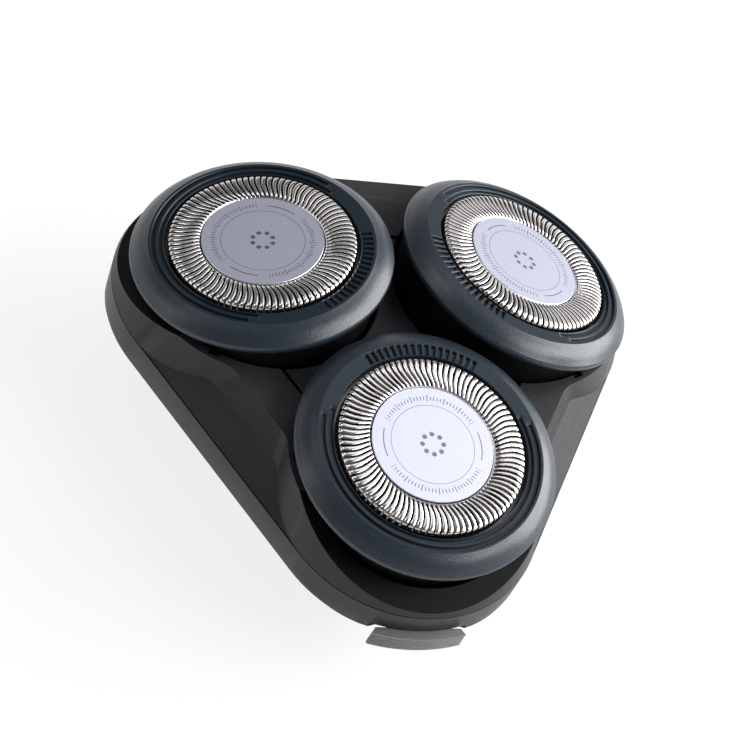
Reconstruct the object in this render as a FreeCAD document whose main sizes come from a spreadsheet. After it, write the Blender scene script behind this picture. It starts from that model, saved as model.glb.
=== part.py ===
"""Rotary shaver head: a hinged three-head unit that plugs onto a shaver handle.

Millimetres, +Z up. The origin is on the drive axis, at the lower rim of the neck that fits the
handle. The release button is at the front, on -Y, and the hinge is at the back.
Three floating heads sit at 150, 30 and -90 degrees and are called a, b and c.
"""
import FreeCAD, Part
import math
import os
import re
import Sketcher

HEADS = {"a": 150, "b": 30, "c": -90}
SIDES = (90, 210, 330)

# Lengths are in millimetres. A text that starts with = is worked out from other sizes.
SIZES = {
    # Layout
    "head_radius": 18.3,                            # drive axis to the pivot of a head
    "tilt_a": 14.0,                                 # outward lean of each head at rest, degrees
    "tilt_b": 15.0,
    "tilt_c": 6.6,
    "tilt_limit": 20.0,                             # most outward lean, degrees
    # Heights, from the neck's lower rim up
    "neck_height": 4.3,
    "cover_thickness": 1.2,
    "gear_gap": 0.8,                                # cover to gears
    "gear_room": 4.3,                               # height of the room for the gears
    "floor_thickness": 1.2,
    "slope_height": 1.5,                            # floor to the widest line
    "band_height": 4.0,                             # widest line to the seam
    "crown_height": 5.5,                            # seam to the top plate
    "pivot_drop": 1.0,                              # pivots below the top plate
    "gear_level": "=neck_height + cover_thickness + gear_gap",
    "case_top": "=neck_height + cover_thickness + gear_room",
    "case_slope": "=case_top - 0.8",                # where the case wall turns outward
    "floor_height": "=case_top + floor_thickness",
    "widest_height": "=floor_height + slope_height",
    "seam_height": "=widest_height + band_height",
    "top_height": "=seam_height + crown_height",
    "pivot_height": "=top_height - pivot_drop",
    # Floating head, from its pivot
    "bezel_gap": 2.15,                              # bezel's rim short of the drive axis
    "bezel_radius": "=head_radius - bezel_gap",
    "bezel_width": 2.25,                            # width of the bezel's sloping skirt
    "bezel_shoulder": "=bezel_radius - bezel_width",
    "bezel_top": 5.75,
    "bezel_widest": 3.7,
    "bezel_lower": 2.9,
    "bezel_ledge": 4.4,
    "collar_radius": "=bezel_radius - 1.75",
    "collar_wall": 1.5,
    "collar_bore": "=collar_radius - collar_wall",
    "collar_lower": 3.6,
    "pin_radius": 0.6,
    "pin_length": 1.0,
    "pin_reach": "=collar_radius + pin_length",
    "pin_gap": 0.08,
    # Guard cap
    "flange_gap": 0.2,
    "flange_radius": "=collar_bore - flange_gap",
    "flange_width": 1.2,
    "flange_level": 4.3,
    "flange_thickness": 0.5,
    "cap_radius": "=flange_radius - flange_width",
    "cap_top": 6.25,
    "cap_sheet": 0.3,
    "cap_bevel": 0.5,
    "track_width": 3.6,
    "track_inner": "=cap_radius - track_width",
    "disc_gap": 0.43,
    "disc_radius": "=track_inner - disc_gap",
    "disc_level": 5.75,
    "disc_thickness": 0.25,
    "slot_count": 90,
    "slot_width": 0.26,
    "slot_lean": 4.0,
    "slot_depth": 1.15,
    # Grooves and ticks of a bezel
    "cap_gap": 0.4,
    "bezel_bore": "=cap_radius + cap_gap",
    "groove_width": 0.45,
    "groove_depth": 0.35,
    "groove_inner": "=bezel_bore + groove_width",
    "groove_outer": "=bezel_shoulder - 0.65",
    "groove_sweep": 108.0,
    "tick_count": 17,
    "tick_pitch": 3.85,
    "tick_length": 1.4,
    # Cutter and its hub
    "blade_count": 15,
    "blade_gap": 0.06,
    "blade_thickness": 0.45,
    "blade_lean": 0.75,
    "blade_inner": "=track_inner + 0.55",
    "blade_outer": "=cap_radius - 0.75",
    "cutter_level": 4.0,
    "cutter_sheet": 0.4,
    "cutter_bore": 4.6,
    "hub_radius": 2.6,
    "hub_lower": 0.5,
    "socket_radius": 1.75,
    "socket_depth": 2.9,
    "retainer_level": 2.0,
    "retainer_thickness": 0.8,
    "retainer_ring": 3.1,
    "retainer_gap": 0.1,
    # Upper shell
    "well_gap": 0.5,                                # collar to shell
    "well_radius": "=collar_radius + well_gap",     # opening that a head floats in
    "well_wall": 1.0,
    "top_plate": 1.6,
    "skirt_top": "=well_radius + 1.1",              # radius of the skirt round a head, at the top
    "waist_blend": 4.0,
    "waist_top": "=head_radius + 3.2",              # the waist's distance from the axis, at the top
    "waist_seam": "=head_radius + 5.7",
    "facet_drop": 2.1,
    "facet_top": "=top_height - facet_drop",        # height where the side facet dies out
    "facet_reach": "=waist_top - 0.1",
    "swing_gap": 0.4,                               # shell to bezel, at full tilt
    "island_gap": 0.5,
    "island_reach": "=head_radius - 2.5",           # side of the centre island from the axis
    # Lower shell
    "shell_wall": 1.6,
    "seam_gap": 0.15,
    "seam_step": 0.1,                               # set-back of the side facets at the seam
    "seam_flare": 1.16,
    "seam_offset": "=head_radius + seam_flare",
    "seam_corner": "=bezel_radius + 0.6",
    "widest_offset": "=head_radius - 2.8",
    "widest_corner": "=seam_corner + 3.75",
    "case_corner": 10.2,                            # corner radius of the gear case
    "case_wall": 1.2,
    "neck_radius": 14.0,
    "neck_wall": 1.8,
    "neck_bore": "=neck_radius - neck_wall",
    # Gears and spindles
    "drive_teeth": 36,
    "spindle_teeth": 26,
    "gear_thickness": 2.2,
    "gear_hub": 3.5,
    "hex_radius": 2.3,
    "hex_depth": 3.4,
    "journal_radius": 1.4,
    "journal_gap": 0.05,
    "sleeve_radius": 2.0,
    "sleeve_stand": 3.5,                            # sleeve above the chamber floor
    "sleeve_top": "=floor_height + sleeve_stand",
    "spindle_radius": 1.05,
    "spindle_flange": 2.1,
    "spindle_foot": "=gear_level + gear_thickness + 0.5",
    "spindle_collar": "=pivot_height - 2.7",
    "tip_radius": 1.3,
    "spring_turns": 4,
    "wire_thickness": 0.35,
    # Hinge, button and screws
    "hinge_height": "=seam_height",
    "hinge_set_back": 0.25,
    "hinge_line": "=seam_offset * 0.5 + seam_corner + hinge_set_back",
    "knuckle_radius": 1.15,
    "knuckle_half": 3.8,
    "knuckle_end": 6.6,
    "hinge_pin_radius": 0.5,
    "lug_depth": 1.8,
    "button_width": 11.6,
    "button_height": 2.5,
    "button_top": "=widest_height + 0.6",
    "button_lower": "=button_top - button_height",
    "button_stand": 1.1,
    "button_travel": 0.8,
    "button_gap": 0.2,
    "button_seat": 0.9,                             # depth of the button's recess in the wall
    "button_spring_radius": 0.9,
    "button_spring_room": 1.5,
    "rib_count": 4,
    "stem_width": 5.0,
    "stem_height": 1.2,
    "stem_low": "=button_lower + 1.1",
    "hook_set_back": 2.7,                           # button arm from the shell's front
    "hook_thickness": 0.8,
    "hook_nose": 0.6,
    "hook_ledge": 0.3,                              # rim that the hook's nose holds
    "nose_height": 0.4,
    "nose_gap": 0.1,
    "screw_circle": "=head_radius * 0.896",
    "screw_radius": 0.9,
    "screw_head": 1.4,
    "screw_head_height": 0.9,
    "screw_length": 3.0,
}

doc = FreeCAD.newDocument("RotaryShaverHead")
sizes = doc.addObject("Spreadsheet::Sheet", "Sizes")
for row, (alias, number) in enumerate(SIZES.items(), start=1):
    sizes.set("A%d" % row, alias)
    sizes.setAlias("B%d" % row, alias)
for row, number in enumerate(SIZES.values(), start=1):
    sizes.set("B%d" % row, str(number))
doc.recompute()

NODES = []


def bound(text):
    """An expression in which each size's name points at the sheet."""
    return re.sub(r"\b[a-z]+(?:_[a-z]+)+\b", lambda word: "Sizes." + word.group(0), str(text))


def value(text):
    """The number that an expression has now."""
    return float(sizes.evalExpression(bound(text)))


def bind(thing, **expressions):
    """Bind properties of an object to expressions over the sizes."""
    for name, text in expressions.items():
        thing.setExpression(name, bound(text))
    return thing


def place(thing, x="0", y="0", z="0", yaw="0", pitch="0", roll="0"):
    """Bind the whole placement of an object."""
    text = "placement(vector(%s; %s; %s); rotation(%s; %s; %s))" % (x, y, z, yaw, pitch, roll)
    thing.setExpression("Placement", bound(text))
    return thing


def node(thing, name):
    """Keep an object as a sub-part with a name of its own."""
    thing.Label = name
    NODES.append(thing)
    return thing


# Sketches
def pin_point(sketch, geo, pos, x, y):
    """Hold a point of the sketch at two bound coordinates."""
    for kind, text in (("DistanceX", x), ("DistanceY", y)):
        index = sketch.addConstraint(Sketcher.Constraint(kind, -1, 1, geo, pos, value(text)))
        sketch.setExpression("Constraints[%d]" % index, bound(text))


def arc_between(start, end, radius, side):
    """The short arc between two points, with its centre on the left (1) or right (-1)."""
    chord = end - start
    half = chord.Length / 2
    rise = math.sqrt(max(radius * radius - half * half, 0.0))
    normal = FreeCAD.Vector(-chord.y, chord.x, 0).normalize() * side
    centre = (start + end) * 0.5 + normal * rise
    first, last = (start, end) if side > 0 else (end, start)
    angles = [math.atan2(point.y - centre.y, point.x - centre.x) for point in (first, last)]
    circle = Part.Circle(centre, FreeCAD.Vector(0, 0, 1), radius)
    return Part.ArcOfCircle(circle, angles[0], angles[1])


def outline(sketch, points):
    """A closed outline through (x, y) points; (x, y, radius, side) arrives along an arc."""
    places = [FreeCAD.Vector(value(p[0]), value(p[1]), 0) for p in points]
    ends = []
    for i, point in enumerate(points):
        start, end = places[i - 1], places[i]
        if len(point) == 2:
            geo = sketch.addGeometry(Part.LineSegment(start, end))
            ends.append((geo, 1, 2))
        else:
            geo = sketch.addGeometry(arc_between(start, end, value(point[2]), point[3]))
            ends.append((geo, 1, 2) if point[3] > 0 else (geo, 2, 1))
            index = sketch.addConstraint(Sketcher.Constraint("Radius", geo, value(point[2])))
            sketch.setExpression("Constraints[%d]" % index, bound(point[2]))
    for i, point in enumerate(points):
        here, after = ends[i], ends[(i + 1) % len(points)]
        sketch.addConstraint(Sketcher.Constraint("Coincident", here[0], here[2], after[0], after[1]))
        pin_point(sketch, here[0], here[2], point[0], point[1])


def ring(sketch, x, y, radius):
    """A circle with a bound centre and radius."""
    centre = FreeCAD.Vector(value(x), value(y), 0)
    geo = sketch.addGeometry(Part.Circle(centre, FreeCAD.Vector(0, 0, 1), value(radius)))
    pin_point(sketch, geo, 3, x, y)
    index = sketch.addConstraint(Sketcher.Constraint("Radius", geo, value(radius)))
    sketch.setExpression("Constraints[%d]" % index, bound(radius))


def free_sketch(name, height="0", upright=False):
    """A sketch of its own, flat at a height, or upright in the plane of X and Z."""
    sketch = doc.addObject("Sketcher::SketchObject", name)
    return place(sketch, z=height, roll="90" if upright else "0")


def body_sketch(body, name, role="XY_Plane", offset="0"):
    """A sketch on one of a body's own origin planes."""
    sketch = body.newObject("Sketcher::SketchObject", name)
    plane = [f for f in body.Origin.OriginFeatures if f.Role == role][0]
    sketch.AttachmentSupport = [(plane, "")]
    sketch.MapMode = "FlatFace"
    sketch.setExpression("AttachmentOffset.Base.z", bound(offset))
    doc.recompute()
    return sketch


# Features of a body
def revolve(body, points, feature="PartDesign::Revolution"):
    """A full turn of an outline of (radius, height) points about the body's Z axis."""
    sketch = body_sketch(body, body.Name + "_profile", "XZ_Plane")
    outline(sketch, points)
    turn = body.newObject(feature, body.Name + "_turned")
    turn.Profile = sketch
    turn.ReferenceAxis = (sketch, ["V_Axis"])
    turn.Angle = 360
    body.Tip = turn
    doc.recompute()
    return turn


def raise_from(body, sketch, length, feature="PartDesign::Pad", reverse=False):
    """A pad or pocket of a sketch, with a bound length."""
    step = body.newObject(feature, sketch.Name + "_step")
    step.Profile = sketch
    step.setExpression("Length", bound(length))
    step.Reversed = reverse
    body.Tip = step
    doc.recompute()
    return step


def repeat(body, step, sketch, count, sweep="360"):
    """A feature repeated round the body's Z axis."""
    pattern = body.newObject("PartDesign::PolarPattern", step.Name + "_round")
    pattern.Originals = [step]
    pattern.Axis = (sketch, ["N_Axis"])
    pattern.setExpression("Angle", bound(sweep))
    pattern.setExpression("Occurrences", bound(count))
    body.Tip = pattern
    doc.recompute()
    return pattern


def new_body(name):
    """An empty body."""
    return doc.addObject("PartDesign::Body", name)


# Solids of their own
def loft(name, sections):
    """A straight-sided solid through sketches."""
    solid = doc.addObject("Part::Loft", name)
    solid.Sections = sections
    solid.Solid = True
    solid.Ruled = True
    return solid


def extrude(name, sketch, length, direction=(0, 0, 1)):
    """A prism on a sketch."""
    solid = doc.addObject("Part::Extrusion", name)
    solid.Base = sketch
    solid.DirMode = "Custom"
    solid.Dir = FreeCAD.Vector(*direction)
    solid.Solid = True
    return bind(solid, LengthFwd=length)


def cylinder(name, radius, height, **where):
    """A cylinder, upright unless it is turned."""
    solid = doc.addObject("Part::Cylinder", name)
    bind(solid, Radius=radius, Height=height)
    return place(solid, **where)


def box(name, length, width, height, **where):
    """A box from one corner."""
    solid = doc.addObject("Part::Box", name)
    bind(solid, Length=length, Width=width, Height=height)
    return place(solid, **where)


def fuse(name, parts):
    """The union of several solids."""
    solid = doc.addObject("Part::MultiFuse", name)
    solid.Shapes = parts
    solid.Refine = True
    return solid


def cut(name, base, tools):
    """A solid less one or more others."""
    solid = doc.addObject("Part::Cut", name)
    solid.Base = base
    solid.Tool = tools[0] if len(tools) == 1 else fuse(name + "_tools", tools)
    solid.Refine = True
    return solid


# Outlines that several pieces share
def rounded_triangle(offset, corner):
    """The outline round three equal circles, whose centres lie towards the heads."""
    points = []
    for angle in sorted(HEADS.values()):
        for side, turn in ((1, -60), (2, 60)):
            x = "(%s) * cos(%d) + (%s) * cos(%d)" % (offset, angle, corner, angle + turn)
            y = "(%s) * sin(%d) + (%s) * sin(%d)" % (offset, angle, corner, angle + turn)
            points.append((x, y) if side == 1 else (x, y, corner, 1))
    return points


def side_hexagon(reach, half):
    """Three long sides at a reach from the axis, joined by short sides that the skirts cover."""
    points = []
    for angle in SIDES:
        for sign in ("-", "+"):
            x = "(%s) * cos(%d) %s (%s) * cos(%d)" % (reach, angle, sign, half, angle + 90)
            y = "(%s) * sin(%d) %s (%s) * sin(%d)" % (reach, angle, sign, half, angle + 90)
            points.append((x, y))
    return points


def shell_sketch(name, height, offset, corner):
    """A rounded triangle at a height."""
    sketch = free_sketch(name, height)
    outline(sketch, rounded_triangle(offset, corner))
    return sketch


def head_place(thing, head):
    """Stand a piece that was made about a pivot in its own head, with its lean."""
    angle = HEADS[head]
    return place(thing, x="head_radius * cos(%d)" % angle, y="head_radius * sin(%d)" % angle,
                 z="pivot_height", yaw=str(angle), pitch="tilt_" + head)


def spindle_place(thing, head, height="0"):
    """Stand a piece on a spindle's axis."""
    angle = HEADS[head]
    return place(thing, x="head_radius * cos(%d)" % angle, y="head_radius * sin(%d)" % angle,
                 z=height, yaw=str(angle))


def copies(master, name, placer, *extra):
    """One linked copy of a master for each head."""
    for head in HEADS:
        link = doc.addObject("App::Link", name + "_" + head)
        link.LinkedObject = master
        link.LinkTransform = False
        placer(link, head, *extra)
        node(link, name + "_" + head)


# Hair chamber: the lower shell, with the gear case below its floor
def hair_chamber():
    outer_top = loft("chamber_band", [
        shell_sketch("chamber_seam", "seam_height - seam_gap", "seam_offset", "seam_corner"),
        shell_sketch("chamber_widest", "widest_height", "widest_offset", "widest_corner")])
    outer_slope = loft("chamber_slope", [
        shell_sketch("slope_top", "widest_height", "widest_offset", "widest_corner"),
        shell_sketch("slope_foot", "case_slope", "head_radius", "case_corner")])
    case_foot = shell_sketch("case_foot", "neck_height + cover_thickness", "head_radius", "case_corner")
    outer_case = extrude("chamber_case", case_foot, "case_slope - neck_height - cover_thickness")
    inner_top = loft("chamber_room", [
        shell_sketch("room_top", "seam_height", "seam_offset", "seam_corner - shell_wall"),
        shell_sketch("room_widest", "widest_height", "widest_offset", "widest_corner - shell_wall")])
    inner_low = loft("chamber_well", [
        shell_sketch("well_top", "widest_height", "widest_offset", "widest_corner - shell_wall"),
        shell_sketch("well_foot", "floor_height", "head_radius - 1", "case_corner + 2.6")])
    room = shell_sketch("gear_room", "neck_height + cover_thickness", "head_radius",
                        "case_corner - case_wall")
    gear_room = extrude("chamber_gear_room", room,
                        "case_top - neck_height - cover_thickness")
    shell = cut("chamber_shell", fuse("chamber_outer", [outer_top, outer_slope, outer_case]),
                [inner_top, inner_low, gear_room])
    additions = [shell]
    holes = []
    for head, angle in HEADS.items():
        spot = dict(x="head_radius * cos(%d)" % angle, y="head_radius * sin(%d)" % angle)
        additions.append(cylinder("bush_" + head, "sleeve_radius + 1", "floor_height - case_top + 1.4",
                                  z="case_top", **spot))
        holes.append(cylinder("bush_bore_" + head, "sleeve_radius + journal_gap",
                              "floor_height - case_top + 4", z="case_top - 1", **spot))
    for number, angle in enumerate(SIDES):
        spot = dict(x="screw_circle * cos(%d)" % angle, y="screw_circle * sin(%d)" % angle)
        additions.append(cylinder("screw_boss_%d" % number, "screw_radius + 0.9",
                                  "case_top - neck_height - cover_thickness",
                                  z="neck_height + cover_thickness", **spot))
        holes.append(cylinder("screw_bore_%d" % number, "screw_radius", "screw_length + 0.4",
                              z="neck_height + cover_thickness - 0.1", **spot))
    additions.append(cylinder("journal_boss", "journal_radius + 1", "1.1", z="case_top - 1.1"))
    holes.append(cylinder("journal_bore", "journal_radius + journal_gap", "1.2", z="case_top - 1.2"))
    additions.append(hinge_knuckle("middle_knuckle", "-knuckle_half", "2 * knuckle_half"))
    additions.append(hinge_lug("middle_lug", "-knuckle_half", "2 * knuckle_half",
                               "hinge_height - 3", "3"))
    for side, start in (("left", "-knuckle_end - 0.2"), ("right", "knuckle_half + 0.05")):
        holes.append(cylinder("holder_knuckle_room_" + side, "knuckle_radius + 0.2",
                              "knuckle_end - knuckle_half + 0.15", x=start, y="hinge_line",
                              z="hinge_height", pitch="90"))
    holes.append(cylinder("chamber_pin_bore", "hinge_pin_radius", "2 * knuckle_end + 2",
                          x="-knuckle_end - 1", y="hinge_line", z="hinge_height", pitch="90"))
    additions.append(box("spring_post", "3", "0.6", "2.8", x="-1.5",
                         y="-(widest_offset + widest_corner - hook_set_back - button_spring_room)",
                         z="floor_height - 0.2"))
    holes.append(button_recess())
    holes.append(box("stem_slot", "stem_width + 2 * button_gap", "hook_set_back + button_travel + 1.2",
                     "stem_height + 2 * button_gap", x="-stem_width / 2 - button_gap",
                     y="-widest_offset - widest_corner - 1", z="stem_low - button_gap"))
    return cut("hair_chamber", fuse("chamber_solid", additions), holes)


def hinge_knuckle(name, start, length):
    """A hinge barrel along X."""
    return cylinder(name, "knuckle_radius", length, x=start, y="hinge_line", z="hinge_height", pitch="90")


def hinge_lug(name, start, length, low, height):
    """The web from a hinge barrel to its shell."""
    return box(name, length, "lug_depth", height, x=start, y="hinge_line - lug_depth", z=low)


def button_recess():
    """The seat of the button in the front wall."""
    sketch = free_sketch("recess_outline", "button_lower - 3")
    half = "(button_width / 2 + button_gap)"
    back = "(widest_offset + widest_corner - button_seat)"
    outline(sketch, [("-%s" % half, "-%s" % back), ("-%s" % half, "-%s - 6" % back),
                     (half, "-%s - 6" % back), (half, "-%s" % back)])
    return extrude("button_seat", sketch, "button_top + button_gap - button_lower + 3")


# Gear cover: the plate under the gears, with the neck that fits the handle
def gear_cover():
    plate = shell_sketch("cover_outline", "neck_height", "head_radius", "case_corner")
    solid = fuse("cover_solid", [
        extrude("cover_plate", plate, "cover_thickness"),
        cylinder("cover_neck", "neck_radius", "neck_height")])
    holes = [cylinder("neck_room", "neck_bore", "neck_height"),
             cylinder("hub_hole", "gear_hub + 0.1", "neck_height + 2 * cover_thickness")]
    for number, angle in enumerate(SIDES):
        holes.append(cylinder("cover_hole_%d" % number, "screw_radius + 0.1", "2 * cover_thickness",
                              x="screw_circle * cos(%d)" % angle, y="screw_circle * sin(%d)" % angle,
                              z="neck_height - 0.5"))
    return cut("gear_cover", solid, holes)


def cover_screws():
    """Three equal screws that hold the cover, with round recesses."""
    screws = []
    for number, angle in enumerate(SIDES):
        spot = dict(x="screw_circle * cos(%d)" % angle, y="screw_circle * sin(%d)" % angle)
        head = cylinder("screw_head_%d" % number, "screw_head", "screw_head_height",
                        z="neck_height - screw_head_height", **spot)
        shank = cylinder("screw_shank_%d" % number, "screw_radius", "cover_thickness + screw_length",
                         z="neck_height", **spot)
        recess = cylinder("screw_recess_%d" % number, "screw_head * 0.4", "screw_head_height * 0.6",
                          z="neck_height - screw_head_height", **spot)
        screws.append(cut("screw_%d" % number, fuse("screw_solid_%d" % number, [head, shank]), [recess]))
    group = doc.addObject("Part::Compound", "cover_screws")
    group.Links = screws
    return group


# Gears and spindles
def toothed(body, teeth, pitch_radius, phase):
    """Add a ring of teeth round a gear blank, the first at an angle."""
    module = "2 * head_radius / (drive_teeth + spindle_teeth)"
    root = "(%s - 1.15 * %s)" % (pitch_radius, module)
    tip = "(%s + 0.8 * %s)" % (pitch_radius, module)
    sketch = body_sketch(body, body.Name + "_tooth", offset="gear_level")
    corners = ((root, "0.95", -1), (tip, "0.36", -1), (tip, "0.36", 1), (root, "0.95", 1))
    points = []
    for reach, width, side in corners:
        reach = reach if reach == tip else "(%s - 0.3)" % reach
        across = "%d * %s * %s" % (side, width, module)
        points.append(("%s * cos(%s) - %s * sin(%s)" % (reach, phase, across, phase),
                       "%s * sin(%s) + %s * cos(%s)" % (reach, phase, across, phase)))
    outline(sketch, points)
    tooth = raise_from(body, sketch, "gear_thickness")
    repeat(body, tooth, sketch, teeth)
    return root


def drive_gear():
    """The centre gear, with a hexagonal socket for the handle's shaft."""
    body = new_body("drive_gear")
    pitch = "(head_radius * drive_teeth / (drive_teeth + spindle_teeth))"
    root = "(%s - 2.3 * head_radius / (drive_teeth + spindle_teeth))" % pitch
    top = "gear_level + gear_thickness"
    low = "neck_height + 0.1"
    rest = "neck_height + cover_thickness + 0.1"
    revolve(body, [("0", low), ("gear_hub", low), ("gear_hub", rest), ("gear_hub + 1", rest),
                   ("gear_hub + 1", "gear_level"), (root, "gear_level"), (root, top),
                   ("journal_radius", top), ("journal_radius", "case_top - 0.1"),
                   ("0", "case_top - 0.1")])
    toothed(body, "drive_teeth", pitch, "0")
    sketch = body_sketch(body, "hex_outline", offset=low)
    outline(sketch, [("hex_radius * cos(%d)" % a, "hex_radius * sin(%d)" % a)
                     for a in range(30, 390, 60)])
    raise_from(body, sketch, "hex_depth", "PartDesign::Pocket", reverse=True)
    return body


def spindle_gear():
    """A spindle's gear, with the sleeve that turns in the chamber floor."""
    body = new_body("spindle_gear")
    pitch = "(head_radius * spindle_teeth / (drive_teeth + spindle_teeth))"
    root = "(%s - 2.3 * head_radius / (drive_teeth + spindle_teeth))" % pitch
    top = "gear_level + gear_thickness"
    bore = "spindle_radius + journal_gap"
    rest = "neck_height + cover_thickness + 0.1"
    revolve(body, [("0", rest), ("sleeve_radius", rest),
                   ("sleeve_radius", "gear_level"), (root, "gear_level"), (root, top),
                   ("sleeve_radius", top), ("sleeve_radius", "sleeve_top"), (bore, "sleeve_top"),
                   (bore, "spindle_foot - 1.9"), ("0", "spindle_foot - 1.9")])
    toothed(body, "spindle_teeth", pitch, "180 / spindle_teeth")
    return body


def spindle():
    """The sprung shaft whose round tip turns a cutter's hub."""
    body = new_body("spindle")
    drop = "spindle_collar"
    revolve(body, [("0", "spindle_foot"), ("spindle_radius", "spindle_foot"),
                   ("spindle_radius", drop), ("spindle_flange", drop),
                   ("spindle_flange", drop + " + 0.6"), ("spindle_radius * 0.8", drop + " + 0.6"),
                   ("spindle_radius * 0.8", "pivot_height - tip_radius * 0.6"),
                   ("tip_radius", "pivot_height"),
                   ("0", "pivot_height + tip_radius", "tip_radius", 1)])
    return body


def coil(name, radius, length, turns, **where):
    """A coil spring of square wire."""
    helix = doc.addObject("Part::Helix", name + "_line")
    bind(helix, Radius=radius, Pitch="(%s) / %s" % (length, turns), Height=length)
    section = doc.addObject("Sketcher::SketchObject", name + "_wire")
    place(section, x=radius, roll="90")
    half = "wire_thickness / 2"
    outline(section, [("-" + half, "-" + half), (half, "-" + half), (half, half), ("-" + half, half)])
    sweep = doc.addObject("Part::Sweep", name)
    sweep.Sections = [section]
    sweep.Spine = (helix, ["Edge1"])
    sweep.Solid = True
    sweep.Frenet = True
    doc.recompute()
    return sweep


# Head holder: the upper shell that carries the heads
def waisted_triangle(offset, corner, waist):
    """Skirts round the heads, drawn in to a waist on each front side and straight along the hinge."""
    blend = "waist_blend"
    rise = "(%s + %s - (%s) / 2)" % (waist, blend, offset)
    reach = "(%s + %s)" % (corner, blend)
    swing = "(acos(%s / %s) / 1 deg)" % (rise, reach)
    half = "((%s) * cos(30) - sqrt(%s ^ 2 - %s ^ 2))" % (offset, reach, rise)
    points = []
    for angle in sorted(HEADS.values()):
        for side in (-1, 1):
            along = angle + side * 60
            straight = ("%s * cos(%d) + %s * cos(%d)" % (offset, angle, corner, along),
                        "%s * sin(%d) + %s * sin(%d)" % (offset, angle, corner, along))
            line = ("%s * cos(%d) - %d * %s * cos(%d)" % (waist, along, side, half, along + 90),
                    "%s * sin(%d) - %d * %s * sin(%d)" % (waist, along, side, half, along + 90))
            turn = "(%d + %d * (60 + %s))" % (angle, side, swing)
            touch = ("%s * cos(%d) + %s * cos(%s)" % (offset, angle, corner, turn),
                     "%s * sin(%d) + %s * sin(%s)" % (offset, angle, corner, turn))
            if side < 0:
                if along == 90:
                    points.append(straight)
                else:
                    points.append(line)
                    points.append(touch + (blend, -1))
                points.append(("(%s + %s) * cos(%d)" % (offset, corner, angle),
                               "(%s + %s) * sin(%d)" % (offset, corner, angle), corner, 1))
            elif along == 90:
                points.append(straight + (corner, 1))
            else:
                points.append(touch + (corner, 1))
                points.append(line + (blend, -1))
    return points


def head_holder():
    wells = []
    for head, angle in HEADS.items():
        wells.append(cylinder("well_" + head, "well_radius", "top_height",
                              x="head_radius * cos(%d)" % angle, y="head_radius * sin(%d)" % angle))
    crown_low = free_sketch("crown_low", "seam_height")
    outline(crown_low, waisted_triangle("seam_offset", "seam_corner", "waist_seam"))
    crown_high = free_sketch("crown_high", "top_height")
    outline(crown_high, waisted_triangle("head_radius", "skirt_top", "waist_top"))
    facet_low = free_sketch("facet_low", "seam_height")
    outline(facet_low, side_hexagon("seam_offset * 0.5 + seam_corner - seam_step", "seam_offset * 0.817"))
    facet_high = free_sketch("facet_high", "facet_top")
    outline(facet_high, side_hexagon("facet_reach", "seam_offset * 0.68"))
    crown = loft("holder_crown", [crown_low, crown_high])
    outer = fuse("holder_outer", [crown, loft("facets", [facet_low, facet_high])])
    room_low = shell_sketch("holder_room_low", "seam_height - 1", "seam_offset",
                            "seam_corner - shell_wall")
    room_high = free_sketch("holder_room_high", "top_height - top_plate")
    outline(room_high, rounded_triangle("head_radius * 0.9", "skirt_top * 0.68"))
    cups = []
    for head, angle in HEADS.items():
        cups.append(cylinder("cup_" + head, "well_radius + well_wall", "top_height - seam_height",
                             x="head_radius * cos(%d)" % angle, y="head_radius * sin(%d)" % angle,
                             z="seam_height + 0.7"))
    back_room = box("holder_back_room", "seam_offset", "seam_corner * 0.6", "top_height - seam_height",
                    x="-seam_offset / 2", y="seam_offset * 0.5 + seam_corner * 0.4 - 3",
                    z="seam_height - top_plate")
    room = cut("holder_cavity", fuse("holder_rooms", [loft("holder_room", [room_low, room_high]),
                                                      back_room]), cups)
    solid = cut("holder_hollow", outer, [room])
    holes = wells + island_seat() + [swing_cut(head) for head in HEADS] + pin_slots() + latch_room()
    for side, start in (("left", "-knuckle_end"), ("right", "knuckle_half + 0.1")):
        length = "knuckle_end - knuckle_half - 0.1"
        solid = fuse("holder_with_knuckle_" + side, [
            solid, hinge_knuckle("knuckle_" + side, start, length),
            hinge_lug("lug_" + side, start, length, "hinge_height", "knuckle_radius")])
    holes.append(cylinder("middle_knuckle_room", "knuckle_radius + 0.2", "2 * knuckle_half + 0.2",
                          x="-knuckle_half - 0.1", y="hinge_line", z="hinge_height", pitch="90"))
    holes.append(cylinder("holder_pin_bore", "hinge_pin_radius + 0.05", "2 * knuckle_end + 2",
                          x="-knuckle_end - 1", y="hinge_line", z="hinge_height", pitch="90"))
    return cut("head_holder", solid, holes)


def swing_cut(head):
    """The slope that a head's bezel swings over at full tilt."""
    solid = doc.addObject("Part::Box", "swing_" + head)
    bind(solid, Length="40", Width="40", Height="20")
    lift = "(bezel_lower - swing_gap)"
    angle = HEADS[head]
    reach = "(head_radius + %s * sin(tilt_limit))" % lift
    place(solid,
          x="%s * cos(%d) + 20 * sin(%d)" % (reach, angle, angle),
          y="%s * sin(%d) - 20 * cos(%d)" % (reach, angle, angle),
          z="pivot_height + %s * cos(tilt_limit)" % lift,
          yaw=str(angle), pitch="tilt_limit")
    return solid


def pin_slots():
    """Open seats in the wells' rims for the pivot pins."""
    slots = []
    half = "(pin_radius + pin_gap)"
    bar = "(pin_reach + pin_gap)"
    for head, angle in HEADS.items():
        x = "head_radius * cos(%d) - %s * cos(%d)" % (angle, bar, angle + 90)
        y = "head_radius * sin(%d) - %s * sin(%d)" % (angle, bar, angle + 90)
        slots.append(cylinder("pin_seat_" + head, half, "2 * " + bar, x=x, y=y, z="pivot_height",
                              yaw=str(angle + 90), pitch="90"))
        slots.append(box("pin_mouth_" + head, "2 * " + half, "2 * " + bar,
                         "top_height - pivot_height + 1",
                         x="%s - %s * cos(%d)" % (x, half, angle),
                         y="%s - %s * sin(%d)" % (y, half, angle),
                         z="pivot_height", yaw=str(angle)))
    return slots


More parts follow.
